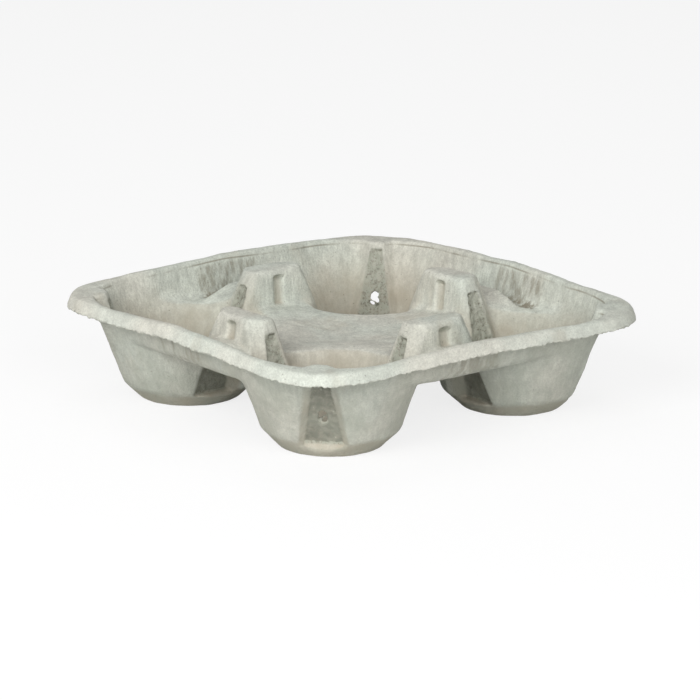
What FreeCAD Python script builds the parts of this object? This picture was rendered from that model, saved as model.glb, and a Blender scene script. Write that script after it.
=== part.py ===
"""Four-cup carrier pressed from recycled paper pulp, in millimetres.

The carrier is one moulded sheet of even thickness. It is drawn as the solid
under its upper skin, less the solid under its lower skin. One set of functions
and sizes makes both: the lower skin is the upper one, set in by the wall.
The origin is on the floor, under the middle of the carrier, with +Z up.
"""
import FreeCAD
import Part
import math
import os
import re
import Sketcher

V = FreeCAD.Vector

SIZES = [
    ("wall", 2.0, "thickness of the moulded sheet"),
    ("side", 215.0, "outside of the carrier across the lip's lower edge"),
    ("corner_radius", 34.0, "plan radius of the lip at a corner"),
    ("rim_height", 50.0, "top of the rim above the floor"),
    ("lip_height", 6.0, "how far the lip turns down from the rim"),
    ("lip_flare", 2.0, "how far the lip spreads on its way down"),
    ("rim_round", 2.6, "round along the outer edge of the rim"),
    ("core_gap", 1.2, "lip's lower edge clear of the moulding inside it"),
    ("tray_depth", 15.5, "hub and saddles below the top of the rim"),
    ("tray_half", 101.0, "middle to the rim's inner wall, at the rim"),
    ("tray_foot_half", 96.5, "middle to the rim's inner wall, at the saddle"),
    ("tray_corner", 60.0, "plan radius of the tray's corner, at the rim"),
    ("tray_round", 5.0, "round between a saddle and the rim's inner wall"),
    ("dish_depth", 3.0, "sag of the hub in the middle"),
    ("dish_half", 30.0, "half of that sag's width, corner towards well"),
    ("dish_flat", 9.0, "half of the level middle of the hub"),
    ("well_shift", 55.5, "well centre from both middle lines"),
    ("well_radius", 46.5, "well radius at the rim"),
    ("well_foot_radius", 28.5, "well radius at its floor"),
    ("well_bevel", 5.0, "bevel between the well's wall and its floor, along the floor"),
    ("post_rise", 3.0, "top of a post above the rim"),
    ("post_inner", 57.0, "middle to a post's hub face, at its top"),
    ("post_inner_foot", 55.0, "middle to a post's hub face, at its foot"),
    ("post_outer", 71.5, "middle to a post's outward face, at its top"),
    ("post_outer_foot", 73.5, "middle to a post's outward face, at its foot"),
    ("post_half_width", 20.0, "half of a post's width, before the wells and notches trim it"),
    ("post_round", 3.0, "round along the top edges of a post"),
    ("flute_radius", 3.9, "radius of the flute in a post's face"),
    ("flute_depth", 2.2, "depth of that flute"),
    ("flute_gap", 4.0, "flute's upper end below the post's top"),
    ("hump_rise", 6.5, "hump behind a post above the saddle"),
    ("hump_end", 88.0, "middle to the hump's end, at its top"),
    ("hump_foot_end", 90.0, "middle to the hump's end, at the saddle"),
    ("hump_half", 7.0, "half of the hump's width, at its top"),
    ("hump_foot_half", 24.0, "half of the hump's width, at the saddle"),
    ("notch_ledge", 7.0, "top of the ledge under a notch, above the floor"),
    ("notch_half", 3.2, "half of a notch's web, at the rim"),
    ("notch_foot_half", 10.0, "half of a notch's web, at the ledge"),
    ("corner_inset", 5.5, "how far the web of a corner notch stands into the well"),
    ("side_inset", 7.5, "how far the web of a notch beside a post stands into the well"),
    ("side_shift", 7.0, "notch beside a post, outwards from the well's centre"),
    ("ledge_inset", 2.5, "flat of the ledge inside the well's foot radius"),
    ("film", 1.1, "thickness of the thin web between the facets"),
    ("film_gap", 3.5, "upper end of the thin web below the rim"),
    ("film_border", 0.7, "full thickness left beside the thin web"),
    ("tear_height", 19.0, "foot of the torn hole in a corner notch above the floor"),
    ("tear_length", 6.0, "height of that hole"),
    ("tear_width", 5.0, "width of that hole at its foot"),
    ("tear_tip", 1.4, "width of that hole at its tip"),
    ("overlap", 6.0, "how far a cutting solid runs past what it cuts"),
]
NAMES = set(name for name, value, meaning in SIZES)

# Heights and slopes that several features share, as formulas on the sheet's cells
TOP = "(rim_height + post_rise + overlap)"
TRAY_FLOOR = "(rim_height - tray_depth)"
TRAY_SLOPE = "((tray_half - tray_foot_half) / tray_depth)"
WELL_SLOPE = "((well_radius - well_foot_radius) / (rim_height - wall))"
POST_SPAN = "(tray_depth + post_rise)"
HUB_FACE_SLOPE = "((post_inner - post_inner_foot) / " + POST_SPAN + ")"
OUT_FACE_SLOPE = "((post_outer_foot - post_outer) / " + POST_SPAN + ")"
HUMP_SLOPE = "((hump_foot_half - hump_half) / hump_rise)"
HUMP_END_SLOPE = "((hump_foot_end - hump_end) / hump_rise)"
NOTCH_SPAN = "(rim_height - notch_ledge)"
NOTCH_BACK = "(well_radius + overlap)"

UPRIGHT = FreeCAD.Rotation(V(1, 0, 0), 90)

# Notches: direction from the well's axis, how far the web stands in, and how far it is set aside
CORNER = (45.0, "corner_inset", "0")
BESIDE_POST = (180.0, "side_inset", "side_shift")

doc = FreeCAD.newDocument("CupCarrier")
sheet = doc.addObject("Spreadsheet::Sheet", "Sizes")
for row, (name, value, meaning) in enumerate(SIZES, start=1):
    sheet.set("A%d" % row, name)
    sheet.set("B%d" % row, "%g" % value)
    sheet.set("C%d" % row, meaning)
    sheet.setAlias("B%d" % row, name)
doc.recompute()


def size(name):
    """Value of one cell of the sheet."""
    return float(sheet.get(name))


def bind(obj, **formulas):
    """Tie properties of obj to formulas. A double underscore in a property's name is a dot."""
    for prop, formula in formulas.items():
        bound = re.sub(r"[a-z_]+", lambda word: "Sizes." + word[0] if word[0] in NAMES else word[0],
                       formula)
        obj.setExpression(prop.replace("__", "."), bound)
    return obj


def boolean(kind, name, base, tool):
    """Cut, Fuse or Common of two objects."""
    result = doc.addObject("Part::" + kind, name)
    result.Base = base
    result.Tool = tool
    result.Refine = True
    return result


def fuse_all(name, pieces):
    """One solid out of several."""
    result = doc.addObject("Part::MultiFuse", name)
    result.Shapes = pieces
    result.Refine = True
    return result


def mirrored(name, source, normal):
    """Mirror image of source in the plane through the middle with this normal."""
    result = doc.addObject("Part::Mirroring", name)
    result.Source = source
    result.Normal = normal
    return result


def on_four_sides(name, source):
    """A feature of the +X side, on all four sides."""
    pair = fuse_all(name + "Pair", [source, mirrored(name + "Back", source, V(1, 0, 0))])
    return fuse_all(name + "Four", [pair, mirrored(name + "Turned", pair, V(1, -1, 0))])


def in_four_corners(name, source):
    """A feature of the +X +Y corner, in all four corners."""
    pair = fuse_all(name + "Pair", [source, mirrored(name + "Back", source, V(1, 0, 0))])
    return fuse_all(name + "Four", [pair, mirrored(name + "Turned", pair, V(0, 1, 0))])


def rounded(name, base, radius, wanted):
    """Fillet on the edges of base that wanted() picks."""
    doc.recompute()
    result = doc.addObject("Part::Fillet", name)
    result.Base = base
    picked = [i for i, edge in enumerate(base.Shape.Edges, start=1) if wanted(edge)]
    result.Edges = [(i, radius, radius) for i in picked]
    return result


def lies_at(level):
    """Test for an edge that lies wholly at this height."""
    def wanted(edge):
        box = edge.BoundBox
        return abs(box.ZMin - level) < 0.01 and abs(box.ZMax - level) < 0.01
    return wanted


def rounded_square(name, half, radius, level):
    """Sketch of a square with round corners about the middle."""
    sketch = doc.addObject("Sketcher::SketchObject", name)
    far = 100.0
    arc = 40.0
    near = far - arc
    corners = [(1, -1), (1, 1), (-1, 1), (-1, -1)]
    starts = [(-near, -far), (far, -near), (near, far), (-far, near)]
    ends = [(near, -far), (far, near), (-near, far), (-far, -near)]
    for start, end in zip(starts, ends):
        sketch.addGeometry(Part.LineSegment(V(*start, 0), V(*end, 0)))
    for k, (sx, sy) in enumerate(corners):
        circle = Part.Circle(V(sx * near, sy * near, 0), V(0, 0, 1), arc)
        first = (k - 1) * math.pi / 2
        sketch.addGeometry(Part.ArcOfCircle(circle, first, first + math.pi / 2))
    for k in range(4):
        sketch.addConstraint(Sketcher.Constraint("Tangent", k, 2, 4 + k, 1))
        sketch.addConstraint(Sketcher.Constraint("Tangent", 4 + k, 2, (k + 1) % 4, 1))
    for k in (0, 2):
        sketch.addConstraint(Sketcher.Constraint("Horizontal", k))
        sketch.addConstraint(Sketcher.Constraint("Vertical", k + 1))
    for k in (4, 5, 6):
        sketch.addConstraint(Sketcher.Constraint("Equal", k, k + 1))
    sketch.addConstraint(Sketcher.Constraint("Symmetric", 4, 3, 6, 3, -1, 1))
    sketch.addConstraint(Sketcher.Constraint("Equal", 0, 1))
    turn = sketch.addConstraint(Sketcher.Constraint("Radius", 4, arc))
    reach = sketch.addConstraint(Sketcher.Constraint("DistanceX", -1, 1, 1, 1, far))
    sketch.renameConstraint(turn, "turn")
    sketch.renameConstraint(reach, "reach")
    return bind(sketch, Constraints__turn=radius, Constraints__reach=half,
                Placement__Base__z=level)


def loft(name, sections):
    """Straight-sided solid through the sections."""
    result = doc.addObject("Part::Loft", name)
    result.Sections = sections
    result.Solid = True
    result.Ruled = True
    return result


def frustum(name, angle, low, high, **extents):
    """Four-sided frustum from height low to high, with its X turned to this angle in plan."""
    result = doc.addObject("Part::Wedge", name)
    result.Placement.Rotation = FreeCAD.Rotation(V(0, 0, 1), angle).multiply(UPRIGHT)
    return bind(result, Ymin=low, Ymax=high, **extents)


def rim_block(skin, inset):
    """Lip and rim, with the core that the wells are sunk into."""
    edge_half = "side / 2 - " + inset
    edge_turn = "corner_radius - " + inset
    spread = " - lip_flare * (lip_height - " + inset + ") / lip_height"
    low = rounded_square(skin + "LipEdge", edge_half, edge_turn, "rim_height - lip_height")
    high = rounded_square(skin + "RimTop", edge_half + spread, edge_turn + spread,
                          "rim_height - " + inset)
    lip = loft(skin + "Lip", [low, high])
    core_low = "-overlap"
    if inset == "0":
        lip = rounded(skin + "LipRound", lip, size("rim_round"), lies_at(size("rim_height")))
        edge_half += " - wall - core_gap"
        edge_turn += " - wall - core_gap"
        core_low = "0"
    core = doc.addObject("Part::Extrusion", skin + "Core")
    core.Base = rounded_square(skin + "CorePlan", edge_half, edge_turn, core_low)
    core.DirMode = "Custom"
    core.Dir = V(0, 0, 1)
    core.Solid = True
    bind(core, LengthFwd="rim_height - lip_height - (" + core_low + ")")
    return fuse_all(skin + "Block", [lip, core])


def tray(skin, inset, grow):
    """Space above the hub and the saddles, inside the rim."""
    low_level = "(" + TRAY_FLOOR + " - " + inset + ")"
    low_in = " - " + TRAY_SLOPE + " * (rim_height - " + low_level + ") + " + inset
    high_out = " + " + TRAY_SLOPE + " * (" + TOP + " - rim_height) + " + inset
    low = rounded_square(skin + "TrayFoot", "tray_half" + low_in, "tray_corner" + low_in, low_level)
    high = rounded_square(skin + "TrayMouth", "tray_half" + high_out, "tray_corner" + high_out, TOP)
    floor = size("rim_height") - size("tray_depth") - grow
    space = rounded(skin + "TrayRound", loft(skin + "TraySpace", [low, high]),
                    size("tray_round") + grow, lies_at(floor))
    brim = "(dish_half + (dish_half - dish_flat) / dish_depth * wall)"
    dish = frustum(skin + "Dish", CORNER[0], low_level + " - dish_depth", low_level + " + wall",
                   Xmin="-dish_flat", Xmax="dish_flat", X2min="-" + brim, X2max=brim,
                   Zmin="-dish_flat", Zmax="dish_flat", Z2min="-" + brim, Z2max=brim)
    return fuse_all(skin + "Tray", [space, dish])


def post(skin, inset, grow):
    """Post on the +X side, before the wells trim it."""
    low = "(" + TRAY_FLOOR + " - overlap / 2)"
    high = "(" + TRAY_FLOOR + " + " + POST_SPAN + " - " + inset + ")"
    below = " * (rim_height + post_rise - " + low + ")"
    body = frustum(skin + "PostBody", 0, low, high,
                   Xmin="post_inner + " + inset + " - " + HUB_FACE_SLOPE + below,
                   Xmax="post_outer - " + inset + " + " + OUT_FACE_SLOPE + below,
                   X2min="post_inner + " + inset + " - " + HUB_FACE_SLOPE + " * " + inset,
                   X2max="post_outer - " + inset + " + " + OUT_FACE_SLOPE + " * " + inset,
                   Zmin="-post_half_width * 1.5", Zmax="post_half_width * 1.5",
                   Z2min="-post_half_width", Z2max="post_half_width")
    top = size("rim_height") + size("post_rise") - grow
    return rounded(skin + "PostRound", body, size("post_round") - grow, lies_at(top))


def hump(skin, inset):
    """Low hump that joins the +X post to the rim's inner wall, but for a narrow gap."""
    low = "(" + TRAY_FLOOR + " - overlap / 2)"
    high = "(" + TRAY_FLOOR + " + hump_rise - " + inset + ")"
    half = "(hump_half - " + inset + " * (sqrt(1 + " + HUMP_SLOPE + " ^ 2) - " + HUMP_SLOPE + "))"
    foot_half = "(" + half + " + " + HUMP_SLOPE + " * (" + high + " - " + low + "))"
    end = "(hump_end - " + inset + " * (1 - " + HUMP_END_SLOPE + "))"
    return frustum(skin + "Hump", 0, low, high, Xmin="post_inner + wall", X2min="post_inner + wall",
                   Xmax=end + " + " + HUMP_END_SLOPE + " * (" + high + " - " + low + ")", X2max=end,
                   Zmin="-" + foot_half, Zmax=foot_half, Z2min="-" + half, Z2max=half)


def flute(skin, inset, name, foot, away, lean, slope):
    """Round groove down one face of the +X post."""
    rod = doc.addObject("Part::Cylinder", skin + name)
    rod.Placement.Rotation.Axis = V(0, 1, 0)
    return bind(rod, Radius="flute_radius + " + inset, Height=POST_SPAN + " - flute_gap",
                Placement__Base__x=foot + " + " + away + " * (flute_radius - flute_depth)",
                Placement__Base__z=TRAY_FLOOR + " + flute_depth / 2 - " + inset,
                Placement__Rotation__Angle=lean + " * atan(" + slope + ")")


def well_radius_at(level):
    """Formula for the radius of the well's wall at a height."""
    return "(well_foot_radius + " + WELL_SLOPE + " * (" + level + " - wall))"


def web_at(level, into):
    """Formula for the distance from the well's axis to a notch's web at a height."""
    return "(%s - %s)" % (well_radius_at(level), into)


def web_half_at(level):
    """Formula for half the width of a notch's web at a height."""
    return "(notch_half + (notch_foot_half - notch_half) * (rim_height - %s) / %s)" % (level, NOTCH_SPAN)


def over_the_well(obj, reach, place):
    """Set obj at this distance from the well's axis, in the direction of the notch."""
    angle, into, aside = place
    return bind(obj, Placement__Base__x="well_shift + " + reach + " * cos(%g)" % angle,
                Placement__Base__y="well_shift + " + aside + " + " + reach + " * sin(%g)" % angle)


def notch(name, inset, place):
    """Fold that stands into the well: a web between two facets, over a ledge."""
    angle, into, aside = place
    low = "(notch_ledge - wall + " + inset + ")"
    wide = "(well_radius + 2 * overlap)"
    front = frustum(name + "Front", angle, low, TOP,
                    Xmin=web_at(low, into) + " + " + inset, Xmax=wide,
                    X2min=web_at(TOP, into) + " + " + inset, X2max=wide,
                    Zmin="-well_radius", Zmax="well_radius", Z2min="-well_radius", Z2max="well_radius")
    over_the_well(front, "0", place)
    low_half = "(%s + %s - %s) / sqrt(2) - %s" % (web_half_at(low), NOTCH_BACK, web_at(low, into), inset)
    top_half = "(%s + %s - %s) / sqrt(2) - %s" % (web_half_at(TOP), NOTCH_BACK, web_at(TOP, into), inset)
    facets = frustum(name + "Facets", angle + 45, low, TOP,
                     Xmin="-(" + low_half + ")", Xmax=low_half, X2min="-(" + top_half + ")", X2max=top_half,
                     Zmin="-(" + low_half + ")", Zmax=low_half, Z2min="-(" + top_half + ")", Z2max=top_half)
    over_the_well(facets, NOTCH_BACK, place)
    fold = boolean("Common", name + "Fold", front, facets)
    flat = "(well_foot_radius - ledge_inset + " + inset + ")"
    ledge = frustum(name + "Ledge", angle, "-overlap", "notch_ledge", Xmin=flat, Xmax=wide,
                    X2min=flat, X2max=wide, Zmin="-well_radius", Zmax="well_radius",
                    Z2min="-well_radius", Z2max="well_radius")
    over_the_well(ledge, "0", place)
    return fuse_all(name, [fold, ledge])


def well(skin, inset):
    """Space of the well in the +X +Y corner, with its three notches left standing."""
    low = "(wall - " + inset + ")"
    high = "(" + TOP + " - " + low + ")"
    wall_cone = doc.addObject("Part::Cone", skin + "WellWall")
    bind(wall_cone, Radius1=well_radius_at(low) + " + " + inset, Radius2=well_radius_at(TOP) + " + " + inset)
    bevel_foot = "(well_foot_radius - well_bevel + (sqrt(2) - 1) * " + inset + ")"
    bevel_cone = doc.addObject("Part::Cone", skin + "WellBevel")
    bind(bevel_cone, Radius1=bevel_foot, Radius2=bevel_foot + " + " + high)
    for cone in (wall_cone, bevel_cone):
        bind(cone, Height=high, Placement__Base__x="well_shift", Placement__Base__y="well_shift",
             Placement__Base__z=low)
    space = boolean("Common", skin + "WellSpace", wall_cone, bevel_cone)
    corner = notch(skin + "CornerNotch", inset, CORNER)
    side = notch(skin + "SideNotch", inset, BESIDE_POST)
    other = mirrored(skin + "SideNotchTurned", side, V(1, -1, 0))
    for number, fold in enumerate((corner, side, other), start=1):
        space = boolean("Cut", skin + "Well%d" % number, space, fold)
    return space


def skin_solid(skin, inset):
    """Everything under one skin of the sheet, which is set in by inset."""
    grow = 0.0 if inset == "0" else size(inset)
    hollowed = boolean("Cut", skin + "Hollowed", rim_block(skin, inset), tray(skin, inset, grow))
    hub_flute = flute(skin, inset, "HubFlute", "post_inner_foot", "-1", "1", HUB_FACE_SLOPE)
    out_flute = flute(skin, inset, "OutFlute", "post_outer_foot", "1", "-1", OUT_FACE_SLOPE)
    flutes = fuse_all(skin + "Flutes", [hub_flute, out_flute])
    fluted = boolean("Cut", skin + "FlutedPost", post(skin, inset, grow), flutes)
    posts = on_four_sides(skin + "Posts", fuse_all(skin + "PostAndHump", [fluted, hump(skin, inset)]))
    standing = boolean("Fuse", skin + "Standing", hollowed, posts)
    wells = in_four_corners(skin + "Wells", well(skin, inset))
    return boolean("Cut", skin + "Solid", standing, wells)


def thin_web(name, place):
    """What is left out of a notch's web on the well's side, where the pulp is thin."""
    angle, into, aside = place
    low = "notch_ledge"
    high = "(rim_height - film_gap)"
    deep = " + wall - film"
    half = web_half_at(low) + " - film_border"
    top_half = web_half_at(high) + " - film_border"
    pocket = frustum(name, angle, low, high,
                     Xmin=web_at(low, into) + " - wall", Xmax=web_at(low, into) + deep,
                     X2min=web_at(high, into) + " - wall", X2max=web_at(high, into) + deep,
                     Zmin="-(" + half + ")", Zmax=half, Z2min="-(" + top_half + ")", Z2max=top_half)
    return over_the_well(pocket, "0", place)


def torn_hole(name, place):
    """Hole torn through the thin web of a notch."""
    angle, into, aside = place
    low = "tear_height"
    high = "(tear_height + tear_length)"
    hole = frustum(name, angle, low, high,
                   Xmin=web_at(low, into) + " - wall", Xmax=web_at(low, into) + " + 2 * wall",
                   X2min=web_at(high, into) + " - wall", X2max=web_at(high, into) + " + 2 * wall",
                   Zmin="-tear_width / 2", Zmax="tear_width / 2", Z2min="-tear_tip / 2", Z2max="tear_tip / 2")
    return over_the_well(hole, "0", place)


sheet_solid = boolean("Cut", "SheetSolid", skin_solid("Upper", "0"), skin_solid("Lower", "wall"))
side_web = thin_web("SideWeb", BESIDE_POST)
webs = [thin_web("CornerWeb", CORNER), side_web, mirrored("SideWebTurned", side_web, V(1, -1, 0))]
thin_places = in_four_corners("ThinPlaces", fuse_all("Webs", webs + [torn_hole("TornHole", CORNER)]))
carrier = boolean("Cut", "Carrier", sheet_solid, thin_places)
carrier.Label = "cup_carrier"
doc.recompute()

failed = [obj.Name for obj in doc.Objects if "Invalid" in obj.State or "Error" in obj.State]
if failed:
    raise RuntimeError("not built: " + ", ".join(failed))
if carrier.Shape.isNull() or not carrier.Shape.isValid():
    raise RuntimeError("the carrier is not a valid solid")
print("solids", len(carrier.Shape.Solids), "volume", round(carrier.Shape.Volume, 1))

os.makedirs("parts", exist_ok=True)
carrier.Shape.exportStep(os.path.join("parts", carrier.Label + ".step"))
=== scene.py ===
"""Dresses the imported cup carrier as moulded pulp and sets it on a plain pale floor."""
import math

import bpy
import numpy as np
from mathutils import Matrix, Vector


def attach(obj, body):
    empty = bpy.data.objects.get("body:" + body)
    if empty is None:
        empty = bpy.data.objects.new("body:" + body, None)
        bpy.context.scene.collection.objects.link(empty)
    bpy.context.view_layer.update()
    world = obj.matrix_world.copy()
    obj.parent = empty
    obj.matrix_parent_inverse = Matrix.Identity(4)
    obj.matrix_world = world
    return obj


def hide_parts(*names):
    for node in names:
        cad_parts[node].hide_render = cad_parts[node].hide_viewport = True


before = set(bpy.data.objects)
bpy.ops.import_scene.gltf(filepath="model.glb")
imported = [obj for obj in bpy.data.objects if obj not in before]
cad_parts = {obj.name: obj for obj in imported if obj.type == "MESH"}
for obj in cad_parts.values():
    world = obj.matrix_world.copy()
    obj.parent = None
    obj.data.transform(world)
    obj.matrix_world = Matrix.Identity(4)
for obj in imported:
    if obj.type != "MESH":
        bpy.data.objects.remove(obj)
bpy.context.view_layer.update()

bl_info = {
    "name": "Moulded Pulp Cup Carrier",
    "version": (1, 0, 0),
    "blender": (4, 5, 0),
    "location": "View3D > Sidebar > Cup Carrier",
    "description": "Models and finishes a four-cup carrier of moulded pulp",
    "category": "Object",
}

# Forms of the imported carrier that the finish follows, in metres
WELL_SHIFT = 0.0555
FLOOR_HEIGHT = 0.002
WELL_FOOT_RADIUS = 0.0285
WELL_SLOPE = 0.375
RIM_HEIGHT = 0.050
LEDGE_HEIGHT = 0.007
LIP_HALF = 0.1075
LIP_CORNER = 0.034
WEB_HALF = 0.0032
WEB_SPREAD = 0.158
CORNER_INSET = 0.0055
SIDE_INSET = 0.0075
SIDE_SHIFT = 0.007
FILM_TOP = 0.0465
FLUTE_TOP = 0.0490
FLUTE_BACKS = (0.0597, 0.0688)
TEAR_AWAY = 0.1079
TEAR_HEIGHT = 0.0205
GROOVE_REACH = 0.0935
GROOVE_HEIGHT = 0.0365
RIM_LINE_HEIGHT = 0.0480

# Small blocks of pulp taken into the sheet, in metres
FLUTE_END_SIZE = (0.0020, 0.0046, 0.0036)
SHRED_SIZE = (0.0011, 0.0058, 0.0014)
SHRED_LEAN = math.radians(24.0)

# Stretch along each side's groove darkened with painted crevice shade and stain: outward axis, axis along
# it, their signs, start and end
SHADED_GROOVES = ((0, 1, 1.0, -1.0, -0.005, 0.028), (1, 0, 1.0, 1.0, -0.016, 0.020),
          (0, 1, -1.0, 1.0, -0.013, 0.018), (1, 0, -1.0, -1.0, -0.010, 0.024))

# Rim's departure from level round the carrier, as shares of the warp
WARP_DEGREES = (-180.0, -135.0, -90.0, -45.0, 0.0, 45.0, 90.0, 135.0, 180.0)
WARP_SHARES = (0.90, -0.35, 0.15, -0.50, 1.00, -0.50, 0.95, -0.30, 0.90)

# Lumps a metre of each noise of the finish across X, Y and Z
STREAKS = (560.0, 560.0, 22.0)
BANDS = (150.0, 150.0, 8.0)
SMEARS = (46.0, 46.0, 14.0)
DRIPS = (330.0, 330.0, 40.0)
CRACKS = (480.0, 480.0, 240.0)
FIBRES = (900.0, 260.0, 640.0)
COMBING = (760.0, 760.0, 34.0)

# Lamps: name, direction and height angle in degrees, distance and size in metres, power in watts
LAMPS = (("key", -72.0, 30.0, 1.7, 0.9, 20.0), ("fill", -14.0, 24.0, 1.9, 1.2, 16.5),
         ("back", 150.0, 60.0, 1.6, 1.0, 3.5))

WEIGHT_STEPS = 50
MERGE_GAP = 0.000005
HOLLOW_ROUNDS = 6
HOLLOW_SCALE = 0.0025
ROOM_LIGHT = 0.34
FLOOR_GLOW = 1.04
FLOOR_GLOW_SHARE = 0.78


class PulpSheetSettings(bpy.types.PropertyGroup):
    """Sizes of the moulded sheet's surface."""
    grain: bpy.props.FloatProperty(
        name="Mesh grain", description="Edge length that the sheet's mesh is rebuilt with",
        default=0.0008, min=0.0005, max=0.002, precision=5, unit="LENGTH")
    share_kept: bpy.props.FloatProperty(
        name="Share kept", description="Share of the fine mesh's triangles that the finished sheet keeps",
        default=0.28, min=0.1, max=1.0, subtype="FACTOR")
    warp: bpy.props.FloatProperty(
        name="Warp", description="How far the rim stands off level, at the most",
        default=0.0024, min=0.0, max=0.006, precision=4, unit="LENGTH")
    hub_sag: bpy.props.FloatProperty(
        name="Hub sag", description="How far the hub's back crest has sunk",
        default=0.0014, min=0.0, max=0.005, precision=4, unit="LENGTH")
    waviness: bpy.props.FloatProperty(
        name="Waviness", description="Slow unevenness of the whole sheet",
        default=0.0020, min=0.0, max=0.005, precision=4, unit="LENGTH")
    raggedness: bpy.props.FloatProperty(
        name="Raggedness", description="Unevenness of the lip's lower edge",
        default=0.0012, min=0.0, max=0.006, precision=4, unit="LENGTH")


class PulpFinishSettings(bpy.types.PropertyGroup):
    """Colours of the pulp, with the colours of its painted shade and highlight."""
    warm: bpy.props.FloatVectorProperty(
        name="Warm grey", description="Pulp colour on the warmer patches",
        default=(0.602, 0.594, 0.525), size=3, min=0.0, max=1.0, subtype="COLOR")
    cool: bpy.props.FloatVectorProperty(
        name="Cool grey", description="Pulp colour on the greener patches",
        default=(0.576, 0.602, 0.536), size=3, min=0.0, max=1.0, subtype="COLOR")
    # Painted shade in the creases and deep in the wells and flutes, mixed with real dirt in the creases and
    # smears
    shade_and_dirt: bpy.props.FloatVectorProperty(
        name="Crease brown", description="Painted_shade_and_dirt that has gathered in the creases",
        default=(0.40, 0.355, 0.275), size=3, min=0.0, max=1.0, subtype="COLOR")
    # Painted shade in the grooves behind the humps and in a thin line inside the rim, with stain streaks in
    # the grooves
    shade_and_stain: bpy.props.FloatVectorProperty(
        name="Crevice_shade_and_stain brown", description="Dark stain in the grooves behind the saddles' humps",
        default=(0.21, 0.185, 0.135), size=3, min=0.0, max=1.0, subtype="COLOR")
    web: bpy.props.FloatVectorProperty(
        name="Web grey", description="Colour of the thin webs in the notches",
        default=(0.375, 0.385, 0.320), size=3, min=0.0, max=1.0, subtype="COLOR")
    # Painted shade on the webs' outer faces, which look down into shadow
    outer_web_shade: bpy.props.FloatVectorProperty(
        name="Outer web grey", description="Colour of the webs' outer faces",
        default=(0.150, 0.150, 0.120), size=3, min=0.0, max=1.0, subtype="COLOR")
    speck: bpy.props.FloatVectorProperty(
        name="Speck", description="Dark fibres and specks in the pulp",
        default=(0.16, 0.145, 0.115), size=3, min=0.0, max=1.0, subtype="COLOR")
    # Painted highlight on the convex crests
    crest: bpy.props.FloatVectorProperty(
        name="Crest light", description="Highlight colour of the crests",
        default=(0.70, 0.69, 0.60), size=3, min=0.0, max=1.0, subtype="COLOR")
    # Painted shade on the faces that look down
    underside_shade: bpy.props.FloatVectorProperty(
        name="Underside grey", description="Shaded colour of the faces that look down",
        default=(0.35, 0.36, 0.30), size=3, min=0.0, max=1.0, subtype="COLOR")


class StageSettings(bpy.types.PropertyGroup):
    """Camera and floor."""
    azimuth: bpy.props.FloatProperty(
        name="Azimuth", description="Camera's direction round the carrier, from the front",
        default=math.radians(-38.5), subtype="ANGLE")
    elevation: bpy.props.FloatProperty(
        name="Elevation", description="Camera's height angle",
        default=math.radians(15.0), subtype="ANGLE")
    distance: bpy.props.FloatProperty(
        name="Distance", description="Camera to the carrier's middle",
        default=2.09, min=0.5, unit="LENGTH")
    lens: bpy.props.FloatProperty(
        name="Lens", description="Focal length in millimetres on a 36 mm sensor",
        default=222.0, min=20.0)
    floor_colour: bpy.props.FloatVectorProperty(
        name="Floor", description="Colour of the floor",
        default=(0.86, 0.86, 0.86), size=3, min=0.0, max=1.0, subtype="COLOR")


def deselect_all():
    """Leave object mode with nothing selected."""
    if bpy.context.mode != "OBJECT":
        bpy.ops.object.mode_set(mode="OBJECT")
    bpy.ops.object.select_all(action="DESELECT")


def pick(piece):
    """Make piece the only selected and active object."""
    deselect_all()
    piece.select_set(True)
    bpy.context.view_layer.objects.active = piece


def finish_with(piece, name, kind, **settings):
    """Add a modifier to piece and apply it."""
    pick(piece)
    modifier = piece.modifiers.new(name, kind)
    for key, value in settings.items():
        setattr(modifier, key, value)
    bpy.ops.object.modifier_apply(modifier=name)


def places(piece):
    """Vertex places of piece as an array."""
    flat = np.empty(len(piece.data.vertices) * 3)
    piece.data.vertices.foreach_get("co", flat)
    return flat.reshape(-1, 3)


def smooth_step(low, high, value):
    """0 at low, 1 at high, smooth between them; low may be above high."""
    part = np.clip((value - low) / (high - low), 0.0, 1.0)
    return part * part * (3.0 - 2.0 * part)


def weigh(piece, name, weights):
    """Vertex group of piece with these weights, in fine steps."""
    group = piece.vertex_groups.new(name=name)
    steps = np.rint(np.clip(weights, 0.0, 1.0) * WEIGHT_STEPS).astype(int)
    for step in range(1, WEIGHT_STEPS + 1):
        chosen = np.flatnonzero(steps == step)
        if len(chosen):
            group.add(chosen.tolist(), step / WEIGHT_STEPS, "REPLACE")
    return name


def clouds(name, size, depth=2, colour=False):
    """Cloudy texture that pushes vertices about."""
    texture = bpy.data.textures.new(name, "CLOUDS")
    texture.noise_scale = size
    texture.noise_depth = depth
    texture.cloud_type = "COLOR" if colour else "GRAYSCALE"
    return texture


def from_lip_edge(at):
    """Signed plan distance from the lip's lower outline, negative inside."""
    corner = np.abs(at[:, :2]) - (LIP_HALF - LIP_CORNER)
    outside = np.hypot(np.maximum(corner[:, 0], 0.0), np.maximum(corner[:, 1], 0.0))
    return outside + np.minimum(np.maximum(corner[:, 0], corner[:, 1]), 0.0) - LIP_CORNER


def rim_warp(at):
    """How far the rim stands off level at each place, as a share of the warp: sides up, corners down."""
    turn = np.degrees(np.arctan2(at[:, 1], at[:, 0]))
    side = np.interp(turn, WARP_DEGREES, WARP_SHARES)
    reach = np.max(np.abs(at[:, :2]), axis=1)
    return smooth_step(0.028, 0.049, at[:, 2]) * smooth_step(0.072, 0.103, reach) * side


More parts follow.
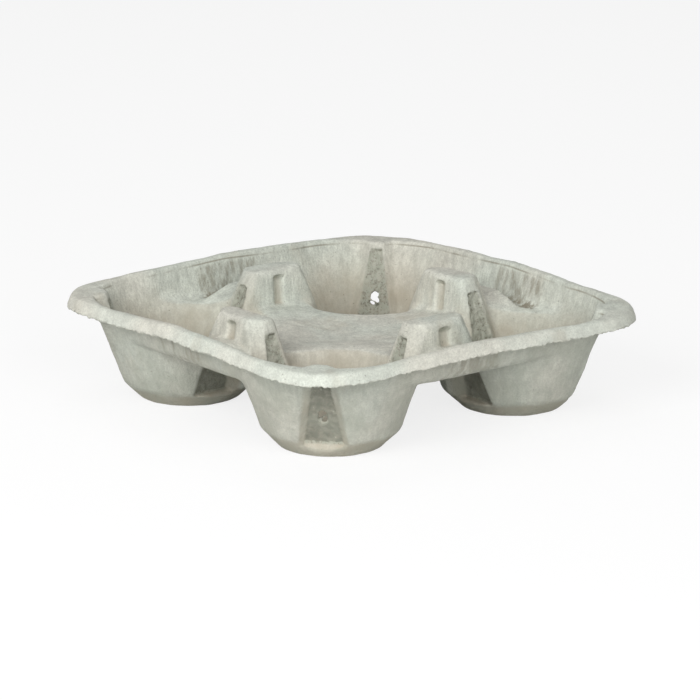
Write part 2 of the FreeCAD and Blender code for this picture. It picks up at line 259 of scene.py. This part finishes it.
def groove_shade_and_stain(at):
    """How much painted crevice shade with stain each place gets round the grooves between the saddles' humps
    and the rim, with painted shade high on the rim's inner wall.
    """
    z = at[:, 2]
    shade_and_stain_mask = np.zeros(len(at))
    for out_axis, along_axis, out_sign, along_sign, low, high in SHADED_GROOVES:
        out = out_sign * at[:, out_axis]
        along = along_sign * at[:, along_axis]
        across = smooth_step(low - 0.006, low, along) * smooth_step(high + 0.001, high - 0.001, along)
        # Groove: painted crevice shade with stain; wall: painted shade high on the rim's inner wall
        groove = np.exp(-((out - GROOVE_REACH) / 0.0040) ** 2 - ((z - GROOVE_HEIGHT) / 0.0050) ** 2)
        wall = 0.55 * smooth_step(0.0925, 0.0960, out) * smooth_step(0.0482, 0.0462, z)
        wall *= smooth_step(0.1025, 0.1010, out)
        shade_and_stain_mask = np.maximum(shade_and_stain_mask, across * np.maximum(groove, wall))
    return shade_and_stain_mask


def off_well_wall(at):
    """Plan distance of each place outside the nearest well's wall at its height."""
    from_well = np.hypot(np.abs(at[:, 0]) - WELL_SHIFT, np.abs(at[:, 1]) - WELL_SHIFT)
    return from_well - well_radius_at(at[:, 2])


def well_radius_at(height):
    """Radius of a well's wall at this height."""
    return WELL_FOOT_RADIUS + WELL_SLOPE * (height - FLOOR_HEIGHT)


def over_webs(at):
    """How much each place lies on a notch's thin web."""
    x = np.abs(at[:, 0]) - WELL_SHIFT
    y = np.abs(at[:, 1]) - WELL_SHIFT
    z = at[:, 2]
    well_radius = well_radius_at(z)
    half = WEB_HALF + WEB_SPREAD * (RIM_HEIGHT - z)
    on_web = np.zeros(len(at))
    notches = [((x + y) / math.sqrt(2), (x - y) / math.sqrt(2), CORNER_INSET),
               (-x, y - SIDE_SHIFT, SIDE_INSET), (-y, x - SIDE_SHIFT, SIDE_INSET)]
    for away, aside, inset in notches:
        depth = np.abs(away - (well_radius - inset) - 0.0010)
        near = smooth_step(0.0028, 0.0018, depth)
        within = smooth_step(half - 0.0002, half - 0.0012, np.abs(aside))
        on_web = np.maximum(on_web, near * within)
    upright = smooth_step(LEDGE_HEIGHT - 0.0002, LEDGE_HEIGHT + 0.0010, z)
    return on_web * upright * smooth_step(FILM_TOP + 0.0008, FILM_TOP - 0.0008, z)


def well_depth_shade(at):
    """How deep each place lies in a well or in a post's flute, as the mask of painted shade there."""
    in_well = smooth_step(0.0014, 0.0002, off_well_wall(at)) * smooth_step(0.050, 0.020, at[:, 2])
    reach = np.max(np.abs(at[:, :2]), axis=1)
    aside = np.min(np.abs(at[:, :2]), axis=1)
    in_flute = 0.6 * smooth_step(0.0036, 0.0008, aside)
    in_flute *= smooth_step(0.0505, 0.0430, at[:, 2]) * smooth_step(0.034, 0.037, at[:, 2])
    in_flute *= np.maximum(smooth_step(0.0540, 0.0568, reach) * smooth_step(0.0605, 0.0595, reach),
                           smooth_step(0.0680, 0.0690, reach) * smooth_step(0.0740, 0.0715, reach))
    return np.maximum(in_well, in_flute)


def hollowness(piece, rounds):
    """How concave the surface is at each vertex, spread over its neighbours."""
    mesh = piece.data
    at = places(piece)
    edges = np.empty(len(mesh.edges) * 2, dtype=int)
    mesh.edges.foreach_get("vertices", edges)
    first, second = edges.reshape(-1, 2).T
    count = len(at)
    degree = np.bincount(first, minlength=count) + np.bincount(second, minlength=count)
    normals = np.empty(count * 3)
    mesh.vertices.foreach_get("normal", normals)
    normals = normals.reshape(-1, 3)
    step = at[second] - at[first]
    length = np.maximum(np.linalg.norm(step, axis=1), 1e-5)
    bend_first = np.einsum("ij,ij->i", step, normals[first]) / length ** 2
    bend_second = -np.einsum("ij,ij->i", step, normals[second]) / length ** 2
    bend = (np.bincount(first, bend_first, count) + np.bincount(second, bend_second, count)) / degree
    for _ in range(rounds):
        around = np.bincount(first, bend[second], count) + np.bincount(second, bend[first], count)
        bend = 0.5 * bend + 0.5 * around / degree
    return bend


def add_pad(name, place, size, turn, lean=0.0):
    """Small block of pulp that the sheet takes in when its mesh is rebuilt."""
    bpy.ops.mesh.primitive_cube_add(size=1.0, location=place, rotation=(lean, 0.0, turn))
    pad = bpy.context.object
    pad.name = name
    pad.scale = size
    bpy.ops.object.transform_apply(location=False, rotation=True, scale=True)
    return pad


def paint(piece, name, values):
    """Store one number at each vertex for the finish."""
    layer = piece.data.attributes.new(name, "FLOAT", "POINT")
    layer.data.foreach_set("value", np.asarray(values, dtype=np.float32))


def add_pads():
    """Close the flutes' upper ends and lay a shred across each torn hole."""
    pads = []
    for quarter in range(4):
        turn = math.radians(90.0 * quarter)
        out = Vector((math.cos(turn), math.sin(turn), 0.0))
        for back in FLUTE_BACKS:
            place = out * back + Vector((0.0, 0.0, FLUTE_TOP))
            pads.append(add_pad("flute_end", place, FLUTE_END_SIZE, turn))
        turn += math.radians(45.0)
        place = Vector((math.cos(turn), math.sin(turn), 0.0)) * TEAR_AWAY + Vector((0.0, 0.0, TEAR_HEIGHT))
        pads.append(add_pad("torn_shred", place, SHRED_SIZE, turn, SHRED_LEAN))
    return pads


def rebuild(sheet, settings):
    """Give the sheet an even, fine mesh, with the pads taken in."""
    pick(sheet)
    bpy.ops.object.mode_set(mode="EDIT")
    bpy.ops.mesh.select_all(action="SELECT")
    bpy.ops.mesh.remove_doubles(threshold=MERGE_GAP)
    bpy.ops.object.mode_set(mode="OBJECT")
    pads = add_pads()
    pick(sheet)
    for pad in pads:
        pad.select_set(True)
    bpy.ops.object.join()
    finish_with(sheet, "Grain", "REMESH", mode="VOXEL", voxel_size=settings.grain)
    if not sheet.data.polygons:
        raise RuntimeError("the sheet was not rebuilt")


def soften(sheet, at):
    """Round the crests, the posts' tops and the feet."""
    reach = np.max(np.abs(at[:, :2]), axis=1)
    inner = np.min(np.abs(at[:, :2]), axis=1)
    z = at[:, 2]
    off_crest = np.abs(off_well_wall(at) - 0.001)
    by_hub_crest = smooth_step(0.012, 0.004, off_crest)
    by_hub_crest *= smooth_step(0.060, 0.050, reach) * smooth_step(0.022, 0.028, z)
    by_saddle_crest = smooth_step(0.009, 0.003, off_crest)
    by_saddle_crest *= smooth_step(0.072, 0.080, reach) * smooth_step(0.024, 0.030, z)
    by_saddle_crest *= smooth_step(0.043, 0.038, z)
    on_post = smooth_step(0.044, 0.050, z) * smooth_step(0.084, 0.078, reach)
    by_foot = smooth_step(0.012, 0.006, z) * 0.6
    by_flute = smooth_step(0.0085, 0.0060, inner) * smooth_step(0.050, 0.053, reach)
    off_flute = 1.0 - 0.92 * by_flute * smooth_step(0.080, 0.077, reach)
    soft = off_flute * np.maximum.reduce([by_hub_crest, by_saddle_crest, on_post, by_foot])
    crests = np.maximum(by_hub_crest * smooth_step(0.046, 0.041, z), by_saddle_crest) * (1.0 - by_flute)
    finish_with(sheet, "Crests", "SMOOTH", factor=0.5, iterations=18,
                vertex_group=weigh(sheet, "crests", soft))
    finish_with(sheet, "Hub crests", "SMOOTH", factor=0.5, iterations=45,
                vertex_group=weigh(sheet, "hub_crests", crests))
    finish_with(sheet, "Soften", "SMOOTH", factor=0.5, iterations=3)


def push_up(sheet, name, height, weights):
    """Raise the sheet by up to this height, or lower it by a negative one."""
    finish_with(sheet, name, "DISPLACE", direction="Z", mid_level=0.0, strength=height,
                vertex_group=weigh(sheet, name, weights))


def push_about(sheet, name, direction, texture, strength, group="", mid_level=0.5):
    """Move the sheet's surface by a cloudy texture."""
    finish_with(sheet, name, "DISPLACE", direction=direction, texture=texture, texture_coords="LOCAL",
                mid_level=mid_level, strength=strength, vertex_group=group)


def warp(sheet, at, settings):
    """Bend the rim off level, sink the hub's back crest and make the sheet wavy."""
    z = at[:, 2]
    off_level = rim_warp(at)
    push_up(sheet, "rise", settings.warp, off_level)
    push_up(sheet, "fall", -settings.warp, -off_level)
    towards = (at[:, 0] + at[:, 1]) / math.sqrt(2)
    aside = (at[:, 0] - at[:, 1]) / math.sqrt(2)
    sunk = smooth_step(0.004, 0.034, towards) * smooth_step(0.052, 0.042, towards)
    sunk *= smooth_step(0.046, 0.020, np.abs(aside))
    sunk *= smooth_step(0.022, 0.031, z) * smooth_step(0.046, 0.040, z)
    push_up(sheet, "sag", -settings.hub_sag, sunk)
    above_floor = weigh(sheet, "above_floor", smooth_step(0.001, 0.012, z))
    push_about(sheet, "waves", "RGB_TO_XYZ", clouds("waves", 0.045, 1, True), settings.waviness, above_floor)
    push_about(sheet, "lumps", "NORMAL", clouds("lumps", 0.007), 0.00045)


def roughen(sheet, at, settings):
    """Fray the lip's lower edge and roughen the webs."""
    on_lip = smooth_step(-0.0036, -0.0030, from_lip_edge(at)) * smooth_step(0.0458, 0.0444, at[:, 2])
    lip = weigh(sheet, "lip_edge", on_lip)
    push_about(sheet, "ragged", "Z", clouds("ragged", 0.006, 1), settings.raggedness, lip)
    push_about(sheet, "fringe", "RGB_TO_XYZ", clouds("fringe", 0.0014, 3, True), 0.0016, lip)
    webs = weigh(sheet, "webs", over_webs(at))
    push_about(sheet, "rough_webs", "NORMAL", clouds("web", 0.0022), 0.0016, webs, mid_level=0.62)


class CUP_OT_mould_sheet(bpy.types.Operator):
    """Mould the sheet: soft crests, wavy sides, rough webs and a ragged lip"""
    bl_idname = "cup_carrier.mould_sheet"
    bl_label = "Mould the sheet"

    def execute(self, context):
        settings = context.scene.cup_carrier_sheet
        sheet = bpy.data.objects.new("pulp_sheet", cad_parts["cup_carrier"].data.copy())
        sheet.data.name = "pulp_sheet"
        sheet.data.materials.clear()
        context.collection.objects.link(sheet)
        rebuild(sheet, settings)
        at = places(sheet)
        soften(sheet, at)
        warp(sheet, at, settings)
        roughen(sheet, at, settings)
        finish_with(sheet, "Fewer", "DECIMATE", ratio=settings.share_kept)
        sheet.vertex_groups.clear()
        bpy.ops.object.shade_smooth()

        paint(sheet, "hollow", hollowness(sheet, HOLLOW_ROUNDS) * HOLLOW_SCALE)
        level = places(sheet)
        level[:, 2] -= settings.warp * rim_warp(level)
        paint(sheet, "web", over_webs(level))
        # Masks of painted shade: crevice shade with stain behind the humps, and shade deep in the wells and
        # flutes
        paint(sheet, "shade_and_stain", groove_shade_and_stain(level))
        paint(sheet, "deep", well_depth_shade(level))
        paint(sheet, "level", level[:, 2])
        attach(sheet, "root")
        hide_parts("cup_carrier")
        return {"FINISHED"}


class Nodes:
    """Short ways to add the nodes of one material or world."""

    def __init__(self, owner):
        owner.use_nodes = True
        self.tree = owner.node_tree
        self.tree.nodes.clear()
        self.place = self.add("ShaderNodeTexCoord")

    def add(self, kind, **settings):
        """New node with these settings."""
        node = self.tree.nodes.new(kind)
        for key, value in settings.items():
            setattr(node, key, value)
        return node

    def put(self, socket, value):
        """Link or set what a socket takes."""
        if isinstance(value, bpy.types.NodeSocket):
            self.tree.links.new(value, socket)
        else:
            socket.default_value = value

    def noise(self, scale, detail=3.0, rough=0.55):
        """Noise of this many lumps a metre, one number or one for each axis."""
        node = self.add("ShaderNodeTexNoise")
        across = scale if isinstance(scale, tuple) else (1.0, 1.0, 1.0)
        mapping = self.add("ShaderNodeMapping")
        self.put(mapping.inputs["Vector"], self.place.outputs["Object"])
        self.put(mapping.inputs["Scale"], across)
        self.put(node.inputs["Vector"], mapping.outputs["Vector"])
        self.put(node.inputs["Scale"], 1.0 if isinstance(scale, tuple) else scale)
        self.put(node.inputs["Detail"], detail)
        self.put(node.inputs["Roughness"], rough)
        return node.outputs["Fac"]

    def cells(self, scale):
        """Distance to the nearest of this many scattered points a metre."""
        node = self.add("ShaderNodeTexVoronoi")
        self.put(node.inputs["Vector"], self.place.outputs["Object"])
        self.put(node.inputs["Scale"], scale)
        return node.outputs["Distance"]

    def remap(self, value, low, high, start=0.0, end=1.0):
        """Value between low and high brought to start and end, smoothly."""
        node = self.add("ShaderNodeMapRange", interpolation_type="SMOOTHSTEP")
        for socket, given in zip(node.inputs, (value, low, high, start, end)):
            self.put(socket, given)
        return node.outputs["Result"]

    def math(self, operation, first, second=0.0):
        """Result of one sum."""
        node = self.add("ShaderNodeMath", operation=operation)
        self.put(node.inputs[0], first)
        self.put(node.inputs[1], second)
        return node.outputs[0]

    def times(self, first, second):
        """Product of two values."""
        return self.math("MULTIPLY", first, second)

    def mix(self, factor, first, second, blend="MIX"):
        """Two colours mixed by a factor."""
        node = self.add("ShaderNodeMix", data_type="RGBA", blend_type=blend)
        self.put(node.inputs["Factor"], factor)
        self.put(node.inputs[6], first)
        self.put(node.inputs[7], second)
        return node.outputs[2]

    def seen_directly(self):
        """1 for the rays of the camera, of gloss and of clear materials."""
        rays = self.add("ShaderNodeLightPath").outputs
        bent = self.math("MAXIMUM", rays["Is Glossy Ray"], rays["Is Transmission Ray"])
        return self.math("MAXIMUM", rays["Is Camera Ray"], bent)

    def show(self, kind, shader):
        """Give a shader to the output of this kind."""
        self.put(self.add(kind).inputs["Surface"], shader)

    def off_outline(self, half, corner):
        """Plan distance outside a square outline with rounded corners."""
        split = self.add("ShaderNodeSeparateXYZ")
        self.put(split.inputs[0], self.place.outputs["Object"])
        past = [self.math("SUBTRACT", self.math("ABSOLUTE", split.outputs[axis]), half - corner)
                for axis in ("X", "Y")]
        outer = [self.math("POWER", self.math("MAXIMUM", side, 0.0), 2.0) for side in past]
        away = self.math("SQRT", self.math("ADD", *outer))
        within = self.math("MINIMUM", self.math("MAXIMUM", *past), 0.0)
        return self.math("SUBTRACT", self.math("ADD", away, within), corner)

    def painted(self, name):
        """Number painted on the mesh."""
        return self.add("ShaderNodeAttribute", attribute_name=name).outputs["Fac"]

    def bump(self, height, distance, strength=1.0, under=None):
        """Bump from a height, over another bump."""
        node = self.add("ShaderNodeBump")
        self.put(node.inputs["Height"], height)
        self.put(node.inputs["Distance"], distance)
        self.put(node.inputs["Strength"], strength)
        if under is not None:
            self.put(node.inputs["Normal"], under)
        return node.outputs["Normal"]


def opaque(colour):
    """Colour of a property as a socket takes it."""
    return (colour[0], colour[1], colour[2], 1.0)


def grey_pulp(nodes, colours, inside):
    """Patchy grey with mottle, fine grain and, inside the lip, upright streaks."""
    patches = nodes.remap(nodes.noise(16.0, 2.0), 0.40, 0.62)
    colour = nodes.mix(patches, opaque(colours.warm), opaque(colours.cool))
    mottle = nodes.remap(nodes.noise(170.0, 4.0, 0.6), 0.30, 0.72, 0.90, 1.07)
    streaks = nodes.remap(nodes.noise(STREAKS, 3.0, 0.6), 0.30, 0.70, 0.90, 1.06)
    bands = nodes.remap(nodes.noise(BANDS, 2.0, 0.5), 0.30, 0.70, 0.94, 1.04)
    fine = nodes.remap(nodes.noise(1150.0, 3.0, 0.7), 0.28, 0.72, 0.86, 1.10)
    combed = nodes.math("POWER", nodes.times(streaks, bands), inside)
    shade = nodes.times(nodes.times(mottle, fine), combed)
    grey = nodes.add("ShaderNodeCombineColor")
    for socket in grey.inputs:
        nodes.put(socket, shade)
    return nodes.mix(1.0, colour, grey.outputs[0], "MULTIPLY")


def brown_dirt_and_shade(nodes, colours, colour):
    """Brown in the creases as dirt with painted shade, random smears, painted shade deep in the wells and
    flutes, and dark painted crevice shade with stain behind the humps.
    """
    shade_and_dirt = opaque(colours.shade_and_dirt)
    cloudy = nodes.noise(60.0, 4.0, 0.65)
    # Concave creases: real dirt with painted shade
    in_crease = nodes.times(nodes.remap(nodes.painted("hollow"), 0.06, 0.60),
                            nodes.remap(cloudy, 0.30, 0.62, 0.45, 0.95))
    colour = nodes.mix(in_crease, colour, shade_and_dirt)
    smear = nodes.times(nodes.remap(nodes.noise(SMEARS, 3.0, 0.6), 0.55, 0.74), 0.32)
    colour = nodes.mix(smear, colour, shade_and_dirt)
    # Painted shade deep in the wells and flutes
    deep = nodes.times(nodes.painted("deep"), nodes.remap(cloudy, 0.25, 0.70, 0.46, 0.86))
    colour = nodes.mix(deep, colour, shade_and_dirt)
    # Painted crevice shade with stain streaks behind the humps
    drips = nodes.remap(nodes.noise(DRIPS, 3.0, 0.6), 0.36, 0.62, 0.35, 1.0)
    shade_and_stain_mask = nodes.remap(nodes.times(nodes.painted("shade_and_stain"), drips), 0.12, 0.85, 0.0, 0.9)
    return nodes.mix(shade_and_stain_mask, colour, opaque(colours.shade_and_stain))


def rim_shade_line(nodes, colours, colour, off_outline, inside):
    """Thin broken line of painted shade just inside the rim."""
    off_line = nodes.math("ABSOLUTE", nodes.math("SUBTRACT", nodes.painted("level"), RIM_LINE_HEIGHT))
    by_rim = nodes.times(inside, nodes.remap(off_outline, -0.018, -0.014))
    line = nodes.times(nodes.remap(off_line, 0.00060, 0.00015), by_rim)
    line = nodes.times(line, nodes.remap(nodes.noise(30.0, 3.0), 0.38, 0.54, 0.0, 0.62))
    return nodes.mix(line, colour, opaque(colours.shade_and_stain))


def pitted_webs(nodes, colours, colour, web, under):
    """Grey webs with dark pits and cracks, and painted shade on the webs' faces that look down."""
    pits = nodes.remap(nodes.noise(560.0, 3.0, 0.75), 0.52, 0.66, 0.0, 0.8)
    cracks = nodes.remap(nodes.noise(CRACKS, 4.0, 0.8), 0.53, 0.61, 0.0, 0.5)
    # Painted shade on the webs' outer faces, which look down
    web_grey = nodes.mix(under, opaque(colours.web), opaque(colours.outer_web_shade))
    web_colour = nodes.mix(nodes.math("MAXIMUM", pits, cracks), web_grey, opaque(colours.speck))
    share = nodes.times(web, nodes.remap(nodes.noise(260.0, 3.0, 0.6), 0.30, 0.60, 0.60, 1.0))
    return nodes.mix(share, colour, web_colour)


def specked(nodes, colours, colour):
    """Dark fibres and scattered specks."""
    speck = opaque(colours.speck)
    fibres = nodes.remap(nodes.noise(FIBRES, 2.0, 0.5), 0.73, 0.78, 0.0, 0.55)
    colour = nodes.mix(fibres, colour, speck)
    specks = nodes.remap(nodes.cells(330.0), 0.13, 0.08, 0.0, 0.5)
    kept = nodes.remap(nodes.noise(75.0, 1.0), 0.50, 0.60)
    return nodes.mix(nodes.times(specks, kept), colour, speck)


def pulp_relief(nodes, web, under, inside):
    """Lumps, upright ribs, matted grain and rougher webs and undersides."""
    lumps = nodes.bump(nodes.noise(240.0, 3.0, 0.55), 0.0009, 0.55)
    ribs = nodes.bump(nodes.times(nodes.noise(COMBING, 2.0, 0.5), inside), 0.0005, 0.35, lumps)
    grain = nodes.bump(nodes.noise(900.0, 4.0, 0.7), 0.0004, 0.6, ribs)
    rough = nodes.times(nodes.noise(520.0, 4.0, 0.75), nodes.math("MAXIMUM", web, under))
    return nodes.bump(rough, 0.0012, 0.6, grain)


class CUP_OT_finish_pulp(bpy.types.Operator):
    """Give the sheet its pulp finish, with painted shade and highlights"""
    bl_idname = "cup_carrier.finish_pulp"
    bl_label = "Finish the pulp"

    def execute(self, context):
        colours = context.scene.cup_carrier_finish
        material = bpy.data.materials.new("moulded_pulp")
        nodes = Nodes(material)
        facing = nodes.add("ShaderNodeSeparateXYZ")
        nodes.put(facing.inputs[0], nodes.place.outputs["Normal"])
        under = nodes.remap(facing.outputs["Z"], 0.05, -0.15)
        web = nodes.painted("web")
        off_outline = nodes.off_outline(LIP_HALF, LIP_CORNER)
        inside = nodes.remap(off_outline, -0.0045, -0.0062)

        colour = grey_pulp(nodes, colours, inside)
        colour = brown_dirt_and_shade(nodes, colours, colour)
        colour = rim_shade_line(nodes, colours, colour, off_outline, inside)
        # Painted highlight on the convex crests
        crest = nodes.remap(nodes.painted("hollow"), -0.15, -0.9, 0.0, 0.22)
        colour = nodes.mix(crest, colour, opaque(colours.crest))
        colour = pitted_webs(nodes, colours, colour, web, under)
        colour = specked(nodes, colours, colour)
        # Painted shade on the faces that look down
        underside_shade = nodes.times(under, nodes.remap(nodes.noise(48.0, 3.0), 0.35, 0.65, 0.30, 0.62))
        colour = nodes.mix(underside_shade, colour, opaque(colours.underside_shade))

        surface = nodes.add("ShaderNodeBsdfPrincipled")
        nodes.put(surface.inputs["Base Color"], colour)
        nodes.put(surface.inputs["Roughness"], 0.92)
        nodes.put(surface.inputs["Specular IOR Level"], 0.22)
        nodes.put(surface.inputs["Normal"], pulp_relief(nodes, web, under, inside))
        nodes.show("ShaderNodeOutputMaterial", surface.outputs[0])

        sheet = bpy.data.objects["pulp_sheet"]
        sheet.data.materials.append(material)
        return {"FINISHED"}


def away_from(direction, height):
    """Unit vector towards this direction and height angle, in radians."""
    flat = math.cos(height)
    return Vector((math.sin(direction) * flat, -math.cos(direction) * flat, math.sin(height)))


def soft_box(name, direction, height, distance, size, power):
    """Square lamp that looks at the carrier."""
    away = away_from(math.radians(direction), math.radians(height))
    bpy.ops.object.light_add(type="AREA", location=away * distance)
    lamp = bpy.context.object
    lamp.name = name
    lamp.data.shape = "SQUARE"
    lamp.data.size = size
    lamp.data.energy = power
    lamp.rotation_euler = away.to_track_quat("Z", "Y").to_euler()


def lay_floor(colour):
    """Pale floor that glows a little where it is seen directly."""
    bpy.ops.mesh.primitive_plane_add(size=12.0, location=(0.0, 0.0, 0.0))
    floor = bpy.context.object
    floor.name = "floor"
    material = bpy.data.materials.new("floor")
    nodes = Nodes(material)
    matt = nodes.add("ShaderNodeBsdfDiffuse")
    nodes.put(matt.inputs["Color"], opaque(colour))
    glow = nodes.add("ShaderNodeEmission")
    nodes.put(glow.inputs["Strength"], FLOOR_GLOW)
    blend = nodes.add("ShaderNodeMixShader")
    nodes.put(blend.inputs[0], nodes.times(nodes.seen_directly(), FLOOR_GLOW_SHARE))
    nodes.put(blend.inputs[1], matt.outputs[0])
    nodes.put(blend.inputs[2], glow.outputs[0])
    nodes.show("ShaderNodeOutputMaterial", blend.outputs[0])
    floor.data.materials.append(material)


def light_room(scene):
    """World that is white where it is seen directly and dimmer as a light."""
    scene.world = bpy.data.worlds.new("soft_room")
    nodes = Nodes(scene.world)
    background = nodes.add("ShaderNodeBackground")
    nodes.put(background.inputs["Strength"], nodes.remap(nodes.seen_directly(), 0.0, 1.0, ROOM_LIGHT, 1.0))
    nodes.show("ShaderNodeOutputWorld", background.outputs[0])


def add_camera(stage):
    """Camera at the stage's angle."""
    away = away_from(stage.azimuth, stage.elevation)
    aim = Vector((0.0, 0.0, 0.024))
    bpy.ops.object.camera_add(location=aim + away * stage.distance)
    camera = bpy.context.object
    camera.name = "camera"
    camera.rotation_euler = away.to_track_quat("Z", "Y").to_euler()
    camera.data.lens = stage.lens
    camera.data.sensor_width = 36.0
    camera.data.clip_start = 0.05
    camera.data.clip_end = 50.0
    return camera


class CUP_OT_set_stage(bpy.types.Operator):
    """Set the floor, the lamps and the camera"""
    bl_idname = "cup_carrier.set_stage"
    bl_label = "Set the stage"

    def execute(self, context):
        stage = context.scene.cup_carrier_stage
        deselect_all()
        lay_floor(stage.floor_colour)
        light_room(context.scene)
        for lamp in LAMPS:
            soft_box(*lamp)
        context.scene.camera = add_camera(stage)
        context.scene.view_settings.view_transform = "Standard"
        return {"FINISHED"}


class CUP_PT_panel(bpy.types.Panel):
    """Lists the carrier's steps and settings"""
    bl_idname = "CUP_PT_panel"
    bl_label = "Cup Carrier"
    bl_space_type = "VIEW_3D"
    bl_region_type = "UI"
    bl_category = "Cup Carrier"

    def draw(self, context):
        layout = self.layout
        for operator in (CUP_OT_mould_sheet, CUP_OT_finish_pulp, CUP_OT_set_stage):
            layout.operator(operator.bl_idname)
        scene = context.scene
        for group in (scene.cup_carrier_sheet, scene.cup_carrier_finish, scene.cup_carrier_stage):
            box = layout.box()
            for name in group.__annotations__:
                box.prop(group, name)


CLASSES = (PulpSheetSettings, PulpFinishSettings, StageSettings, CUP_OT_mould_sheet,
           CUP_OT_finish_pulp, CUP_OT_set_stage, CUP_PT_panel)


def register():
    """Add the classes and the scene's settings."""
    for item in CLASSES:
        bpy.utils.register_class(item)
    bpy.types.Scene.cup_carrier_sheet = bpy.props.PointerProperty(type=PulpSheetSettings)
    bpy.types.Scene.cup_carrier_finish = bpy.props.PointerProperty(type=PulpFinishSettings)
    bpy.types.Scene.cup_carrier_stage = bpy.props.PointerProperty(type=StageSettings)


def unregister():
    """Take the classes and the settings away."""
    del bpy.types.Scene.cup_carrier_stage
    del bpy.types.Scene.cup_carrier_finish
    del bpy.types.Scene.cup_carrier_sheet
    for item in reversed(CLASSES):
        bpy.utils.unregister_class(item)


def main():
    """Build the carrier's looks."""
    register()
    bpy.ops.cup_carrier.mould_sheet()
    bpy.ops.cup_carrier.finish_pulp()
    bpy.ops.cup_carrier.set_stage()


if __name__ == "__main__":
    main()
